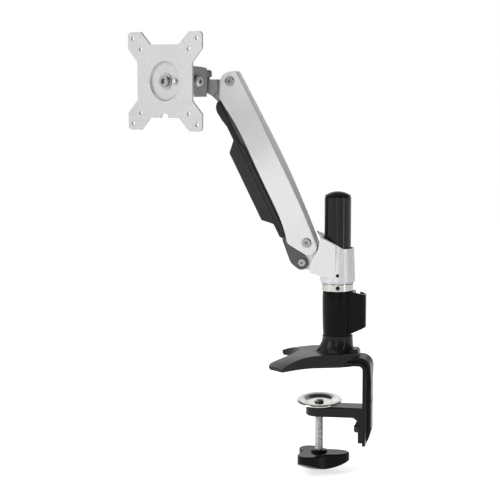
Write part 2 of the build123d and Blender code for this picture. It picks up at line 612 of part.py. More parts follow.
def arm_fittings():
    """Pivot bolts, nuts and spacers of the arm, and the upper pin of the gas spring."""
    bolts, nuts, spacers = [], [], []
    for t, half_w in ((0, ARM_HALF_D), (ARM_LENGTH, ARM_HALF_A)):
        seat = half_w - BOLT_SEAT_DEPTH
        bolt = socket_bolt(PIVOT_R, 5.1, 2.8, -half_w - 0.6, seat, 4.0)
        bolts.append(arm_placed(Pos(t, 0, 0) * bolt))
        nuts.append(arm_placed(Pos(t, 0, 0) * nut(9.0, PIVOT_R, -half_w - 2.2, -seat)))
        for side in (-1, 1):
            low, high = sorted((side * (TONGUE_HALF_W + 0.3), side * (half_w - CHEEK_T - 0.02)))
            ring = rod(5.6, low, high, (t, 0)) - rod(PIVOT_R + 0.03, -20, 20, (t, 0))
            spacers.append(arm_placed(ring))
    keep("arm_pivot_bolts", Compound(children=bolts))
    keep("arm_pivot_nuts", Compound(children=nuts))
    keep("arm_spacers", Compound(children=spacers))
    keep("cylinder_pin", arm_placed(rod(PIVOT_R, -CYLINDER_PIN_HALF, CYLINDER_PIN_HALF, CYLINDER_PIN)))


def spring_frame():
    """Frame whose x runs down the gas spring from its upper eye, in arm coordinates."""
    t, s = CYLINDER_PIN
    return Pos(t, s, 0) * Rot(0, 0, degrees(atan2(SPRING_AIM - s, ARM_LENGTH - t)))


def gas_spring():
    """Gas spring inside the channel: cylinder with its eye, rod, and a slotted eye on the pin."""
    place = ARM_FRAME.location * spring_frame()
    start, stop = CYLINDER_SPAN
    hollow = rod(PISTON_R + 0.05, start + 7, stop - 3) + rod(PIVOT_R + 0.05, 60, stop + 1)
    cylinder = Rot(0, 90, 0) * (rod(CYLINDER_R, start, stop) - hollow)
    rim = cylinder.edges().filter_by(lambda e: e.geom_type == GeomType.CIRCLE and e.radius > CYLINDER_R - 0.1)
    cylinder = soften(cylinder, rim, 1.2)
    eye = rod(5.6, -SPRING_HALF_W, SPRING_HALF_W)
    eye += block((0, start + 1), (-4.2, 4.2), (-SPRING_HALF_W, SPRING_HALF_W))
    cylinder += eye - rod(PIVOT_R, -6, 6)
    keep("gas_cylinder", place * cylinder)
    t_pin = ARM_LENGTH + SPRING_OFFSET * link_t / drop_length
    reach = ((t_pin - CYLINDER_PIN[0]) ** 2 + (SPRING_AIM - CYLINDER_PIN[1]) ** 2) ** 0.5
    tip = reach - ROD_END_GAP
    piston_rod = Rot(0, 90, 0) * (rod(PIVOT_R, PISTON_X[1], tip) + rod(PISTON_R, *PISTON_X))
    keep("spring_rod", place * piston_rod)
    end = block((tip, reach + 5.4), (-5.9, 5.4), (-SPRING_HALF_W, SPRING_HALF_W))
    end = soften(end, end.edges().filter_by(Axis.Z), 2.4)
    end -= block((reach - 3.3, reach + 3.3), (-4.6, 4.5), (-10, 10))
    end -= Rot(0, 90, 0) * rod(PIVOT_R, reach - 20, tip + 0.1)
    keep("spring_end", place * end)


# ---------------------------------------------------------------- lower link and its covers
def link_placed(shape):
    """Link coordinates: x from pivot C to pivot B, y across, both parallel to the arm's."""
    return ARM_FRAME.location * Pos(link_t, link_s, 0) * shape


def lower_link():
    """Steel channel from the collar to the head: two cheeks joined by a web underneath."""
    end = ARM_LENGTH
    side = slab([
        (0, -7.0), (0, 6.4), (end - 6, 6.4), (end, 7.6), (end + 3.8, -8.0), (end - 1.3, -10.8),
        (end - 5, -12.1), (end - 9, -12.3), (end - 33, -9.9), (end - 36.6, LINK_WEB[0]), (14, LINK_WEB[0]),
    ], -LINK_OUTER, LINK_OUTER)
    side += rod(6.7, -LINK_OUTER, LINK_OUTER) + rod(8.35, -LINK_OUTER, LINK_OUTER, (end, -0.75))
    body = side - slab([
        (-20, LINK_WEB[1]), (-20, 30), (260, 30), (260, -30), (end - 22, -30), (end - 30, LINK_WEB[1]),
    ], -LINK_INNER, LINK_INNER)
    body -= block((-20, 14), (-30, 30), (-LINK_INNER, LINK_INNER))
    for x in (0, end):
        body -= rod(PIVOT_R + 0.02, -20, 20, (x, 0))
    for x in COVER_SCREWS_X:
        body -= Pos(x, 0, 0) * Rot(90, 0, 0) * rod(COVER_SCREW_R, 0, 20)
    keep("lower_link", link_placed(body))
    keep("link_pin_upper", link_placed(rod(PIVOT_R, -9.3, 9.3)))
    bolt = socket_bolt(PIVOT_R, 4.6, 1.7, -LINK_OUTER - 1.6, LINK_OUTER + 0.02, 3.0)
    keep("link_bolt_lower", link_placed(Pos(end, 0, 0) * bolt))
    lock = nut(8.0, PIVOT_R, -LINK_OUTER - 1.6, -LINK_OUTER)
    keep("link_nut_lower", link_placed(Pos(end, 0, 0) * lock))


def link_cover():
    """Plastic trough clipped round the link: a ridge, a groove and a flat underside."""
    start, stop = COVER_SPAN
    side = make_face(
        Polyline(
            (-1.0, -5.4), (52, -5.4), (60, -2.4), (stop - 8, -2.4), (stop + 3, -5.6),
            (stop + 3, COVER_OUTER + 1.5), (stop, COVER_OUTER), (28, COVER_OUTER), (18, -12.4), (9, -13.3)
        )
        + ThreePointArc((9, -13.3), (0.0, -11.0), (start, -7.4))
        + Polyline((start, -7.4), (-1.0, -5.4))
    )
    body = extrude(side, COVER_HALF_W, both=True)
    for side in (-1, 1):
        low, high = sorted((side * (COVER_HALF_W - 0.9), side * 30))
        body -= block((24, stop + 9), (-7.4, -6.2), (low, high))
    fit, passage = LINK_OUTER + 0.15, LINK_OUTER - 1.2
    body -= block((-30, 260), (LINK_WEB[0] - 0.05, 30), (-fit, fit))
    body -= block((DOOR_X[0] + 6, DOOR_X[1] - 6), (-30, LINK_WEB[0]), (-passage, passage))
    body -= block((-30, 15), (-40, 30), (-fit, fit))
    for x in COVER_SCREWS_X:
        body -= Pos(x, 0, 0) * Rot(90, 0, 0) * rod(COVER_SCREW_R + 0.1, 0, 20)
    keep("link_cover", link_placed(body))
    screws = []
    for x in COVER_SCREWS_X:
        screw = rod(COVER_SCREW_R, 6.6, 10.2) + rod(2.8, 10.2, 11.6)
        screw -= hex_prism(2.0, 10.9, 12)
        screws.append(link_placed(Pos(x, 0, 0) * Rot(90, 0, 0) * screw))
    keep("cover_screws", Compound(children=screws))


def cable_cover():
    """Snap-on door that closes the cable channel under the link."""
    first, last = DOOR_X
    body = slab([
        (first - 12, COVER_OUTER - 0.05), (first, DOOR_REACH), (last + 3, DOOR_REACH), (last + 11, -13.0),
        (last + 14, COVER_OUTER - 0.05),
    ], -DOOR_HALF_W, DOOR_HALF_W)
    long_edges = body.edges().filter_by(lambda e: e.length > 60 and e.center().Y < -15)
    body = soften(body, long_edges, 2.2)
    body -= slab([
        (first - 9, 5), (first - 9, -11.0), (first + 1.5, DOOR_INSIDE), (last + 1.5, DOOR_INSIDE),
        (last + 8, -12.6), (last + 10, 5),
    ], COVER_T - DOOR_HALF_W, DOOR_HALF_W - COVER_T)
    for x in (first - 12, last + 14):
        body -= block((x - 14, x + 14), (-17.5, 0), (-5.5, 5.5))
    keep("cable_cover", link_placed(body))


# ---------------------------------------------------------------- head link
def head_link():
    """Casting between the arm and the swivel: a narrow tongue on pivots C and D, and an upright boss."""
    (dy, dz), (cy, cz) = pivot_d, pivot_c
    tongue = Pos(dy, dz) * Circle(8.6) + Pos(cy, cz) * Circle(6.6)
    tongue += make_face(Polyline(
        (dy + 2, dz + 8.3), (dy - 5, BOSS_Z[1]), (-149, BOSS_Z[1]), (-153, 322), (-147, 316.0),
        (cy - 3.4, cz - 5.6), (cy + 6.3, cz - 2.0), (dy + 8.4, dz - 2), close=True
    ))
    low, high = BOSS_Z
    throat = (-150.5, 319.4)
    neck = make_face(
        ThreePointArc(throat, (-156.5, 323.2), (SWIVEL_Y, low))
        + Polyline((SWIVEL_Y, low), (SWIVEL_Y, high), (-145.3, high), (-144.0, 333), (-144.0, 326.5), throat)
    )
    body = side_placed(extrude(tongue, TONGUE_HALF_W, both=True))
    body += side_placed(extrude(neck, 9.0, both=True))
    body += rod(BOSS_R, low, high, (0, SWIVEL_Y))
    foot = body.edges().filter_by(lambda e: e.center().Z < low + 0.2 and e.center().Y < SWIVEL_Y - 3)
    body = soften(body, foot, 1.5)
    for pivot in (pivot_d, pivot_c):
        body -= side_placed(rod(HEAD_BUSH_R, -20, 20, pivot))
    body -= rod(SWIVEL_BUSH_R, SWIVEL_BUSH_Z, 350, (0, SWIVEL_Y))
    keep("head_link", body)
    bushes = []
    for pivot, bore in ((pivot_d, PIVOT_R + RUNNING), (pivot_c, PIVOT_R + 0.3)):
        bush = rod(HEAD_BUSH_R, -TONGUE_HALF_W, TONGUE_HALF_W, pivot) - rod(bore, -20, 20, pivot)
        bushes.append(side_placed(bush))
    keep("head_bushes", Compound(children=bushes))
    lining = tube(SWIVEL_BUSH_R, HEAD_PIN_R + RUNNING, SWIVEL_BUSH_Z, high - 0.1, (0, SWIVEL_Y))
    keep("swivel_bush", lining)


# ---------------------------------------------------------------- tilt bracket
def tilt_bracket():
    """Saddle casting: a lug over the boss, a back web, and two cheeks that carry the tilt bolt."""
    under = LUG_Z[0]
    back, brow, front, lip = (-9.6, 347.6), (45, 355.8), (48.6, TILT_Z), (42.5, 324.0)
    crown = make_face(
        Spline(back, (-6.5, 349.6), (18, 353.6), brow, tangents=[(0.3, 1), (1, 0.03)])
        + Polyline(brow, (48.0, 352), front)
        + ThreePointArc(front, (46.8, 330.2), lip)
        + Polyline(lip, (37.0, BRACKET_LOW_Z), (12.6, BRACKET_LOW_Z), (12.6, under), (back[0], under), back)
    )
    body = Rot(90, 0, 0) * extrude(crown, 30, both=True)
    plan = make_face(
        Polyline((50, 0), (50, BRACKET_HALF), (17.0, BRACKET_HALF), (11.0, 12.0), (3.2, 9.0))
        + ThreePointArc((3.2, 9.0), (-6.75, 6.75), (-9.55, 0))
        + Polyline((-9.55, 0), (50, 0))
    )
    body &= Pos(0, 0, 300) * extrude(plan + mirror(plan, Plane.XZ), 80)
    rim = body.edges().filter_by(lambda e: e.center().Z > 346 and e.length > 4)
    body = soften(body, rim, 1.0)
    body -= block((20.0, 60), (-BRACKET_INNER, BRACKET_INNER), (300, 351.2))
    body -= block((24.0, 60), (-NECK_HALF - 0.9, NECK_HALF + 0.9), (340, 370))
    body -= rod(HEAD_PIN_R, 300, LUG_Z[1] - 1.2)
    body -= TILT_PLACE * rod(WASHER_BORE_R, -30, 30)
    keep("tilt_bracket", head_placed(body))


def head_hardware():
    """Swivel pin and washer, and the tilt bolt with its nut and washers."""
    keep("swivel_pin", head_placed(rod(HEAD_PIN_R, SWIVEL_BUSH_Z + 0.6, LUG_Z[1] - 1.3)))
    washer = tube(7.2, WASHER_BORE_R, BOSS_Z[1] + 0.1, LUG_Z[0] - 0.05)
    keep("swivel_washer", head_placed(washer))
    tilt = socket_bolt(HEAD_PIN_R, 6.4, 3.4, -BRACKET_HALF - 6.0, BRACKET_HALF + 1.3, 5.0)
    keep("tilt_bolt", head_placed(TILT_PLACE * tilt))
    lock = nut(12.6, HEAD_PIN_R, -BRACKET_HALF - 6.2, -BRACKET_HALF - 1.3)
    keep("tilt_nut", head_placed(TILT_PLACE * lock))
    washers = []
    for low in (BRACKET_HALF + 0.02, -BRACKET_HALF - 1.27):
        washers.append(head_placed(TILT_PLACE * tube(7.6, WASHER_BORE_R, low, low + 1.25)))
    keep("tilt_washers", Compound(children=washers))


# ---------------------------------------------------------------- knuckle and plate
def tilt_knuckle():
    """Barrel on the tilt bolt with a round flange that the plate turns on."""
    half_w = BRACKET_INNER - SIDE_PLAY
    barrel = TILT_PLACE * rod(11.5, -half_w, half_w)
    neck = block((TILT_X, HUB_X - 4.6), (-NECK_HALF, NECK_HALF), (TILT_Z - 9.0, TILT_Z + 9.0))
    turn = Pos(0, 0, TILT_Z) * Rot(0, 90, 0)
    flange = turn * rod(19.0, HUB_X - 5.2, HUB_X - 0.85)
    collar_ring = turn * cone(14.5, 12.5, HUB_X - 9.5, HUB_X - 5.0)
    body = barrel + neck + flange + collar_ring
    body -= TILT_PLACE * rod(TILT_BUSH_R, -30, 30)
    body -= turn * rod(HEAD_PIN_R, HUB_X - 16, HUB_X + 5)
    keep("tilt_knuckle", head_placed(body))
    keep("tilt_bush", head_placed(TILT_PLACE * tube(TILT_BUSH_R, HEAD_PIN_R + RUNNING, -half_w, half_w)))
    floor_x = HUB_X + VESA_T
    head = rod(6.6, floor_x + 1.3, floor_x + 5.2)
    head = soften(head, head.edges().group_by(Axis.Z)[-1], 0.8)
    head -= hex_prism(6.0, floor_x + 2.6, floor_x + 9)
    bolt = head + rod(HEAD_PIN_R, HUB_X - 15, floor_x + 1.5)
    keep("centre_bolt", head_placed(turn * bolt))
    washer = tube(8.8, WASHER_BORE_R, floor_x + 0.35, floor_x + 1.3)
    keep("centre_washer", head_placed(turn * washer))
    keep("friction_washer", head_placed(turn * tube(18.0, 4.3, HUB_X - 0.8, HUB_X - 0.35)))


def plate_outline():
    """X-shaped plate: a square body with an ear at each corner, as (across, up) points."""
    reach, body, flat = 57.5, 42.7, 37.5
    slant = flat - 15.2
    quarter = make_face(Polyline(
        (0, 0), (0, body), (slant, body), (flat, reach), (reach, reach), (reach, flat), (body, slant),
        (body, 0), close=True
    ))
    ear_corner = quarter.vertices().filter_by(lambda v: v.X > reach - 1 and v.Y > reach - 1)
    quarter = fillet(ear_corner, 5.0)
    upper = quarter + mirror(quarter, Plane.YZ)
    return upper + mirror(upper, Plane.XZ)


def vesa_plate():
    """Pressed steel plate with both screw patterns, a round dish, and a cable notch below."""
    face = plate_outline()
    face -= Pos(0, -43.4) * Circle(6.3)
    for pitch in VESA_PITCHES:
        for x in (-pitch / 2, pitch / 2):
            for y in (-pitch / 2, pitch / 2):
                face -= Pos(x, y) * Circle(VESA_HOLE_R)
    body = extrude(face, VESA_T)
    dish = cone(20.0, 23.4, -DISH_DEPTH, VESA_T)
    wall = cone(22.4, 25.6, -DISH_DEPTH, 0.0) - dish
    body = body - dish + wall + rod(22.2, -DISH_DEPTH, VESA_T - DISH_DEPTH)
    body -= rod(HEAD_PIN_R + 0.25, -10, 10)
    body -= rod(M5_R, -10, 10, (STOP_X, 0))
    front = Plane(origin=(PLATE_FRONT_X - VESA_T, 0, TILT_Z), x_dir=(0, 1, 0), z_dir=(1, 0, 0))
    across = HEAD_FRAME.location * front.location
    keep("vesa_plate", across * body)
    seat = VESA_T - DISH_DEPTH
    screw = rod(M5_R, -DISH_DEPTH - 0.3, seat)
    knob = rod(2.9, seat, seat + 3.4)
    knob = soften(knob, knob.edges().group_by(Axis.Z)[-1], 1.1)
    keep("stop_screw", across * Pos(STOP_X, 0, 0) * (screw + knob))


def build():
    """Make every piece and write each to its own STEP file."""
    for make in (
        desk_foot, desk_pad, clamp_bracket, clamp_jaw, jaw_screws, foot_screws, pole_parts, pole_sleeve,
        cable_clip, clamp_disc, clamp_screw, clamp_knob, height_ring, collar, tongue_fittings, arm_channel,
        arm_fittings, gas_spring, lower_link, link_cover, cable_cover, head_link, tilt_bracket, head_hardware,
        tilt_knuckle, vesa_plate,
    ):
        make()
    os.makedirs("parts", exist_ok=True)
    for name, shape in PARTS.items():
        export_step(shape, f"parts/{name}.step")


build()
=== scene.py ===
from math import cos, pi, radians, sin

import bpy
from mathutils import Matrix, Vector


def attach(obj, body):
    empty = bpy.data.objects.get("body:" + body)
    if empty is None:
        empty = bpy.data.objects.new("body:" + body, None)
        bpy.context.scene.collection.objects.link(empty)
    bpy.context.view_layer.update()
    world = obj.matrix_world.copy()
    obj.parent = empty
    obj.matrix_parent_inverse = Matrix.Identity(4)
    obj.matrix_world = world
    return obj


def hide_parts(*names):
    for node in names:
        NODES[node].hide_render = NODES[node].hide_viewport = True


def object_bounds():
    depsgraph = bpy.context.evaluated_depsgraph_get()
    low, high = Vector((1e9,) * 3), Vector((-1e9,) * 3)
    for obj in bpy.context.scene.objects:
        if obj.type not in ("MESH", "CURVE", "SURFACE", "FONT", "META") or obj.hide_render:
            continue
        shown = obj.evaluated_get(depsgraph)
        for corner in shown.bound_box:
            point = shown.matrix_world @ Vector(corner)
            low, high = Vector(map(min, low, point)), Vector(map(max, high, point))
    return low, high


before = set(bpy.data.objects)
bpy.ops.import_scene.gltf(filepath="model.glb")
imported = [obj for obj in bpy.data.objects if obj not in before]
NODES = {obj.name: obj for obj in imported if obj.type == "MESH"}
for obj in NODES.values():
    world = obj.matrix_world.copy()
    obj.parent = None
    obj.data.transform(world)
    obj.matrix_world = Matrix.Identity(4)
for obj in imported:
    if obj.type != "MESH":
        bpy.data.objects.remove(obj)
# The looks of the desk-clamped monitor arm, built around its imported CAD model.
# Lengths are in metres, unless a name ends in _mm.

CAD_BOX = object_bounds()
MM = 0.001

# The clamp screw's rolled M10 thread
THREAD_CREST = 5.0 * MM
THREAD_ROOT = 4.2 * MM
THREAD_PITCH = 1.5 * MM
THREAD_STOP = 1.0 * MM            # below the jaw's top face; the CAD screw's own faces are kept above it
FLANK_SLOPE = 2.4                 # how fast a ridge falls away from its middle, per turn
CREST_CUT = 1.3                   # a ridge is drawn this much too high, then cut flat at the crest
POINTS_ROUND = 48
RINGS_PER_TURN = 8

# The view: from the plate's side of the arm, far off and a little above
CAMERA_PLACE = (1.9615, 0.2394, 0.3531)
CAMERA_AZIMUTH = radians(100.0)
CAMERA_PITCH = radians(6.25)
LENS_mm = 119.5
SENSOR_mm = 36.0
CLIP_END = 50.0

# Softboxes, all aimed at one point: name, place, (width, height), watts
AIM = (0.0, -0.06, 0.12)
SOFTBOXES = (
    ("key_left", (1.3, -1.7, 1.0), (0.9, 1.5), 15.0),
    ("strip_right", (0.9, 1.5, 0.3), (0.12, 1.6), 4.0),
    ("top", (0.5, -0.3, 1.9), (1.2, 1.2), 5.0),
    ("front", (2.6, 0.0, 0.7), (0.7, 1.4), 7.0),
    ("behind", (-1.7, -0.5, 0.75), (1.8, 0.9), 3.5),
)

# The surround that lights the object: white to the left (-Y), dark to the right, dimmer ahead (+X)
SURROUND_LIGHT = 0.68
SURROUND_DARK = (0.12, 0.12, 0.125)
RIGHT_FADE = (-0.6, 0.75)         # where along Y the white turns dark
AHEAD_FADE = (0.45, 0.95)         # where along X the light dims
AHEAD_DIM = 0.4

# The floor
FLOOR_GAP = 4 * MM                # clearance under the lowest point
FLOOR_REACH = 30.0
FLOOR_GLOW = 0.66                 # keeps the paper near white where little light falls
FLOOR_CLOUD_mm = 400.0


# ---------------------------------------------------------------- node helpers
def tone(colour, factor):
    """A colour made lighter or darker, never past white."""
    return tuple(min(1.0, channel * factor) for channel in colour)


class Nodes:
    """A node tree, and the few kinds of node that the looks here are made of."""

    def __init__(self, tree):
        self.tree = tree
        self.tree.nodes.clear()

    def node(self, kind, **settings):
        made = self.tree.nodes.new(kind)
        for key, value in settings.items():
            setattr(made, key, value)
        return made

    def link(self, source, target):
        self.tree.links.new(source, target)

    def ramp(self, source, stops):
        """Colour ramp; stops are (place, grey) or (place, (r, g, b)) pairs."""
        made = self.node("ShaderNodeValToRGB")
        elements = made.color_ramp.elements
        while len(elements) < len(stops):
            elements.new(0.5)
        for element, (place, colour) in zip(elements, stops):
            element.position = place
            grey = isinstance(colour, (int, float))
            element.color = (colour, colour, colour, 1) if grey else (*colour, 1)
        self.link(source, made.inputs["Fac"])
        return made.outputs["Color"]

    def spread(self, source, low, high, start=0.3, end=0.7):
        """Map start..end, by default a noise's useful range, onto low..high."""
        made = self.node("ShaderNodeMapRange")
        for name, value in (("From Min", start), ("From Max", end), ("To Min", low), ("To Max", high)):
            made.inputs[name].default_value = value
        self.link(source, made.inputs["Value"])
        return made.outputs["Result"]

    def reckon(self, operation, first, second):
        made = self.node("ShaderNodeMath", operation=operation)
        self.link(first, made.inputs[0])
        if isinstance(second, (int, float)):
            made.inputs[1].default_value = second
        else:
            self.link(second, made.inputs[1])
        return made.outputs[0]

    def add(self, first, second):
        return self.reckon("ADD", first, second)

    def times(self, first, second):
        return self.reckon("MULTIPLY", first, second)


class Shader(Nodes):
    """A principled material; its textures are laid out in the object's own coordinates."""

    def __init__(self, name, **sockets):
        self.material = bpy.data.materials.new(name)
        self.material.use_nodes = True
        super().__init__(self.material.node_tree)
        output = self.node("ShaderNodeOutputMaterial")
        self.bsdf = self.node("ShaderNodeBsdfPrincipled")
        self.link(self.bsdf.outputs[0], output.inputs["Surface"])
        self.place = self.node("ShaderNodeTexCoord").outputs["Object"]
        for socket, value in sockets.items():
            self.bsdf.inputs[socket.replace("_", " ")].default_value = value

    def noise(self, size_mm, detail=2.0, roughness=0.5, stretch=None):
        """Noise whose blotches are about size_mm across, stretched along an axis if asked."""
        made = self.node("ShaderNodeTexNoise")
        made.inputs["Scale"].default_value = 1.0 / (size_mm * MM)
        made.inputs["Detail"].default_value = detail
        made.inputs["Roughness"].default_value = roughness
        place = self.place
        if stretch:
            scaled = self.node("ShaderNodeMapping")
            scaled.inputs["Scale"].default_value = stretch
            self.link(place, scaled.inputs["Vector"])
            place = scaled.outputs[0]
        self.link(place, made.inputs["Vector"])
        return made.outputs["Fac"]

    def cells(self, size_mm, feature="F1"):
        made = self.node("ShaderNodeTexVoronoi", feature=feature)
        made.inputs["Scale"].default_value = 1.0 / (size_mm * MM)
        self.link(self.place, made.inputs["Vector"])
        return made.outputs["Distance"]

    def mix(self, factor, first, second, blend="MIX"):
        made = self.node("ShaderNodeMix", data_type="RGBA", blend_type=blend)
        for name, value in (("Factor", factor), ("A", first), ("B", second)):
            target = [socket for socket in made.inputs if socket.name == name and socket.enabled][0]
            if isinstance(value, (int, float)):
                target.default_value = value
            elif isinstance(value, tuple):
                target.default_value = (*value, 1)
            else:
                self.link(value, target)
        return [socket for socket in made.outputs if socket.enabled][0]

    def darken(self, colour, shade):
        """Multiply a colour by a shade."""
        return self.mix(1.0, colour, shade, blend="MULTIPLY")

    def rounded(self, radius_mm):
        """Normal that rounds the model's sharp edges by a small radius."""
        made = self.node("ShaderNodeBevel", samples=6)
        made.inputs["Radius"].default_value = radius_mm * MM
        return made.outputs["Normal"]

    def edge(self, radius_mm, start=0.02, end=0.25):
        """0 on flats, 1 on sharp edges."""
        soft = self.rounded(radius_mm)
        true = self.node("ShaderNodeNewGeometry").outputs["Normal"]
        dot = self.node("ShaderNodeVectorMath", operation="DOT_PRODUCT")
        self.link(soft, dot.inputs[0])
        self.link(true, dot.inputs[1])
        apart = self.add(self.times(dot.outputs["Value"], -1.0), 1.0)
        return self.spread(apart, 0.0, 1.0, start, end)

    def painted_crease_shade(self, reach_mm, dark, start=0.35, end=0.95):
        """Painted shade: 1 on open surfaces, falling to dark where another surface stands close by."""
        made = self.node("ShaderNodeAmbientOcclusion", samples=8)
        made.inputs["Distance"].default_value = reach_mm * MM
        return self.spread(made.outputs["AO"], dark, 1.0, start, end)

    def bump(self, height, depth_mm, strength, normal):
        made = self.node("ShaderNodeBump")
        made.inputs["Strength"].default_value = strength
        made.inputs["Distance"].default_value = depth_mm * MM
        self.link(height, made.inputs["Height"])
        self.link(normal, made.inputs["Normal"])
        return made.outputs["Normal"]

    def done(self, colour, roughness=None, normal=None):
        for value, socket in ((colour, "Base Color"), (roughness, "Roughness"), (normal, "Normal")):
            if value is not None:
                self.link(value, self.bsdf.inputs[socket])
        return self.material


# ---------------------------------------------------------------- finishes
def metallic_coat(name, base, speckle, metallic=0.55, rough=(0.34, 0.46), grain_mm=0.35):
    """Powder coat with aluminium flake: fine speckle, slight orange peel, painted shade in creases, edges
    lighter as painted highlight and as wear where the coat thins.
    """
    cloud_mm, mottle_mm, peel_mm = 38.0, 1.3, 2.4
    flake_size, glint_amount, edge_highlight_and_wear = 1.3, 0.22, 0.5
    coat = Shader(name, Metallic=metallic, Specular_IOR_Level=0.5)
    fine = coat.noise(grain_mm, detail=3.0, roughness=0.7)
    flake = coat.cells(grain_mm * flake_size)
    cloud = coat.noise(cloud_mm)
    mottle = coat.noise(mottle_mm, roughness=0.65)
    peel = coat.noise(peel_mm, detail=1.0)
    colour = coat.ramp(fine, [(0.28, tone(base, 1 - speckle)), (0.5, base), (0.72, tone(base, 1 + speckle))])
    glint = coat.ramp(flake, [(0.0, 1.0), (0.13, 0.0)])
    colour = coat.mix(coat.times(glint, glint_amount), colour, tone(base, 1.3))
    colour = coat.darken(colour, coat.ramp(cloud, [(0.3, 0.95), (0.7, 1.0)]))
    colour = coat.darken(colour, coat.ramp(mottle, [(0.34, 1.0 - speckle * 0.55), (0.66, 1.0)]))
    # Painted shade: the coat colour darkened where another surface stands within reach_mm, in creases and
    # recesses.
    colour = coat.darken(colour, coat.painted_crease_shade(reach_mm=4.0, dark=0.45))
    # Painted highlight on the sharp edges, partly also wear where the coat thins.
    colour = coat.mix(coat.times(coat.edge(0.7), edge_highlight_and_wear), colour, tone(base, 1.25))
    height = coat.add(coat.times(fine, 0.5), coat.times(peel, 0.5))
    normal = coat.bump(height, depth_mm=0.035, strength=0.55, normal=coat.rounded(0.45))
    return coat.done(colour, coat.spread(fine, *rough), normal)


def black_coat(name, base=(0.006, 0.006, 0.0065), rough=(0.26, 0.36), grain_mm=0.5, depth_mm=0.03, clear=0.0):
    """Black powder coat or enamel: fine texture, a grey painted highlight on the edges."""
    cloud_mm, edge_highlight_grey, edge_highlight_amount = 22.0, (0.10, 0.10, 0.10), 0.6
    coat = Shader(name, Specular_IOR_Level=0.13, Coat_Weight=clear, Coat_Roughness=0.12)
    fine = coat.noise(grain_mm, roughness=0.6)
    cloud = coat.noise(cloud_mm, detail=3.0)
    colour = coat.ramp(cloud, [(0.3, tone(base, 0.85)), (0.7, tone(base, 1.25))])
    # Painted highlight: grey mixed in on the sharp edges.
    colour = coat.mix(coat.times(coat.edge(0.8), edge_highlight_amount), colour, edge_highlight_grey)
    roughness = coat.add(coat.spread(fine, *rough), coat.spread(cloud, -0.03, 0.04))
    normal = coat.bump(fine, depth_mm, strength=0.6, normal=coat.rounded(0.5))
    return coat.done(colour, roughness, normal)


def moulded(name, base, rough=(0.42, 0.56), grain_mm=0.28, depth_mm=0.04, specular=0.32):
    """Injection-moulded plastic with spark-eroded grain, faint flow marks and a painted highlight on the
    edges.
    """
    flow_mm, flow_stretch, painted_edge_highlight = 16.0, (1.0, 0.45, 0.45), 0.45
    plastic = Shader(name, Specular_IOR_Level=specular)
    grain = plastic.cells(grain_mm, "SMOOTH_F1")
    flow = plastic.noise(flow_mm, detail=3.0, stretch=flow_stretch)
    colour = plastic.ramp(flow, [(0.3, tone(base, 0.85)), (0.7, tone(base, 1.2))])
    # Painted highlight: the sharp edges lighter than the plastic's own black.
    colour = plastic.mix(plastic.times(plastic.edge(0.8), painted_edge_highlight), colour, tone(base, 3.2))
    grained = plastic.spread(grain, *rough, start=0.0, end=0.6)
    roughness = plastic.add(grained, plastic.spread(flow, -0.03, 0.03))
    normal = plastic.bump(grain, depth_mm, strength=0.5, normal=plastic.rounded(0.5))
    return plastic.done(colour, roughness, normal)


def plated(name, base, rough=(0.06, 0.13), line_mm=0.12, line_strength=0.12):
    """Plated or polished steel with faint working lines and smudges, and painted shade in creases."""
    smudge_mm = 9.0
    metal = Shader(name, Metallic=1.0)
    lines = metal.noise(line_mm, detail=3.0, roughness=0.7)
    smudge = metal.noise(smudge_mm, detail=4.0)
    colour = metal.ramp(smudge, [(0.3, tone(base, 0.9)), (0.7, base)])
    # Painted shade: the metal colour darkened where another surface stands close by.
    colour = metal.darken(colour, metal.painted_crease_shade(reach_mm=2.5, dark=0.25))
    roughness = metal.add(metal.spread(lines, *rough), metal.spread(smudge, 0.0, 0.05))
    normal = metal.bump(lines, depth_mm=0.01, strength=line_strength, normal=metal.rounded(0.3))
    return metal.done(colour, roughness, normal)


def rubber(name):
    """Matt black rubber with a fine grain."""
    grain_mm, cloud_mm = 0.4, 12.0
    skin = Shader(name, Specular_IOR_Level=0.35)
    grain = skin.noise(grain_mm, detail=3.0)
    cloud = skin.noise(cloud_mm, detail=3.0)
    colour = skin.ramp(cloud, [(0.3, 0.012), (0.7, 0.024)])
    normal = skin.bump(grain, depth_mm=0.06, strength=0.7, normal=skin.rounded(0.3))
    return skin.done(colour, skin.spread(grain, 0.75, 0.92), normal)


SILVER = metallic_coat("silver_powder_coat", (0.70, 0.70, 0.71), 0.16)
PLATE_GREY = metallic_coat("plate_powder_coat", (0.56, 0.56, 0.57), 0.32, metallic=0.5, rough=(0.38, 0.5),
                           grain_mm=0.6)
HEAD_GREY = metallic_coat("head_grey_coat", (0.30, 0.30, 0.31), 0.14, metallic=0.6, rough=(0.32, 0.42))
LINK_GREY = metallic_coat("link_dark_coat", (0.085, 0.085, 0.09), 0.12, metallic=0.6, rough=(0.34, 0.46))
BRACKET_BLACK = black_coat("bracket_black_coat")
CAST_BLACK = black_coat("cast_black_enamel", grain_mm=0.9, depth_mm=0.06, clear=0.15)
POLE_BLACK = black_coat("pole_black_enamel", base=(0.005, 0.005, 0.0055), rough=(0.16, 0.24), grain_mm=0.7,
                        depth_mm=0.015, clear=0.3)
GLOSS_PLASTIC = moulded("gloss_black_plastic", (0.003, 0.003, 0.0033), rough=(0.11, 0.17), grain_mm=0.8,
                        depth_mm=0.012, specular=0.08)
MATT_PLASTIC = moulded("matt_black_plastic", (0.016, 0.016, 0.017))
CHROME = plated("polished_chrome", (0.50, 0.49, 0.465))
DISC_CHROME = plated("pressed_chrome", (0.66, 0.66, 0.64), rough=(0.1, 0.2))
ZINC = plated("zinc_plate", (0.66, 0.66, 0.64), rough=(0.16, 0.3), line_mm=0.25, line_strength=0.25)
SCREW_ZINC = plated("rolled_zinc", (0.90, 0.89, 0.86), rough=(0.18, 0.3), line_mm=0.3, line_strength=0.2)
